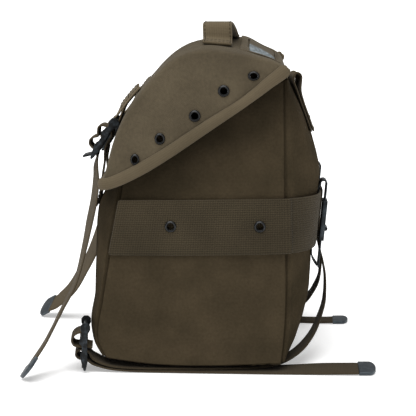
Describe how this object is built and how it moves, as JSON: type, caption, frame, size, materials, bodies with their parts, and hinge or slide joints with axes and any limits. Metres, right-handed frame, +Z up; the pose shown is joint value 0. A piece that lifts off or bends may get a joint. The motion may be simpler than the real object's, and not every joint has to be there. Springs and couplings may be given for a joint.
{
  "type": "belt bag",
  "caption": "Canvas field bag worn on a belt: swelling box body, buckled flap with side wings, web band, belt clips, harness loops and webbing straps with metal tips.",
  "frame": {"origin": "on the floor under the middle of the whole object's box, free strap ends included", "axes": "+Z up, +X towards the side that faces the picture's camera, -Y towards the front with the flap's buckles"},
  "size_m": [0.2894, 0.3086, 0.2836],
  "materials": {
    "canvas": "matte olive brown cotton duck",
    "binding_tape": "matte cotton binding tape",
    "band_webbing": "ribbed cotton webbing",
    "strap_webbing": "flat cotton webbing",
    "eyelet_steel": "black enamel",
    "buckle_steel": "blackened steel",
    "clip_steel": "blackened steel",
    "tip_steel": "dull grey steel",
    "clear_film": "clear vinyl film"
  },
  "bodies": {
    "bag": {"back_panel": "canvas", "band_eyelet_left_1": "eyelet_steel", "band_eyelet_left_2": "eyelet_steel", "band_eyelet_right_1": "eyelet_steel", "band_eyelet_right_2": "eyelet_steel", "base_buckle_left": "buckle_steel", "base_buckle_right": "buckle_steel", "base_buckle_tab_left": "strap_webbing", "base_buckle_tab_right": "strap_webbing", "base_panel": "canvas", "base_strap_left": "strap_webbing", "base_strap_right": "strap_webbing", "base_strap_tip_left": "tip_steel", "base_strap_tip_right": "tip_steel", "belt_clip_left": "clip_steel", "belt_clip_right": "clip_steel", "card_window_frame": "canvas", "card_window_pane": "clear_film", "carry_handle": "strap_webbing", "flap_buckle_left": "buckle_steel", "flap_buckle_right": "buckle_steel", "flap_buckle_tab_left": "strap_webbing", "flap_buckle_tab_right": "strap_webbing", "flap_hem_binding": "binding_tape", "flap_strap_left": "strap_webbing", "flap_strap_right": "strap_webbing", "flap_strap_tip_left": "tip_steel", "flap_strap_tip_right": "tip_steel", "flap_top": "canvas", "flap_wing_left": "canvas", "flap_wing_right": "canvas", "front_panel": "canvas", "harness_loop_left": "strap_webbing", "harness_loop_right": "strap_webbing", "side_band": "band_webbing", "side_panel_left": "canvas", "side_panel_right": "canvas", "wing_binding_left": "binding_tape", "wing_binding_right": "binding_tape", "wing_eyelet_left_1": "eyelet_steel", "wing_eyelet_left_2": "eyelet_steel", "wing_eyelet_left_3": "eyelet_steel", "wing_eyelet_left_4": "eyelet_steel", "wing_eyelet_left_5": "eyelet_steel", "wing_eyelet_right_1": "eyelet_steel", "wing_eyelet_right_2": "eyelet_steel", "wing_eyelet_right_3": "eyelet_steel", "wing_eyelet_right_4": "eyelet_steel", "wing_eyelet_right_5": "eyelet_steel"},
    "clip_slide_right": {"belt_clip_slide_right": "clip_steel"},
    "clip_slide_left": {"belt_clip_slide_left": "clip_steel"}
  },
  "joints": [
    {"name": "clip_slide_right_joint", "type": "slide", "parent": "bag", "child": "clip_slide_right", "axis": [0, 0.0915, 0.9958], "range_m": [-0.014, 0.011]},
    {"name": "clip_slide_left_joint", "type": "slide", "parent": "bag", "child": "clip_slide_left", "axis": [0, 0.0915, 0.9958], "range_m": [-0.014, 0.011]}
  ]
}
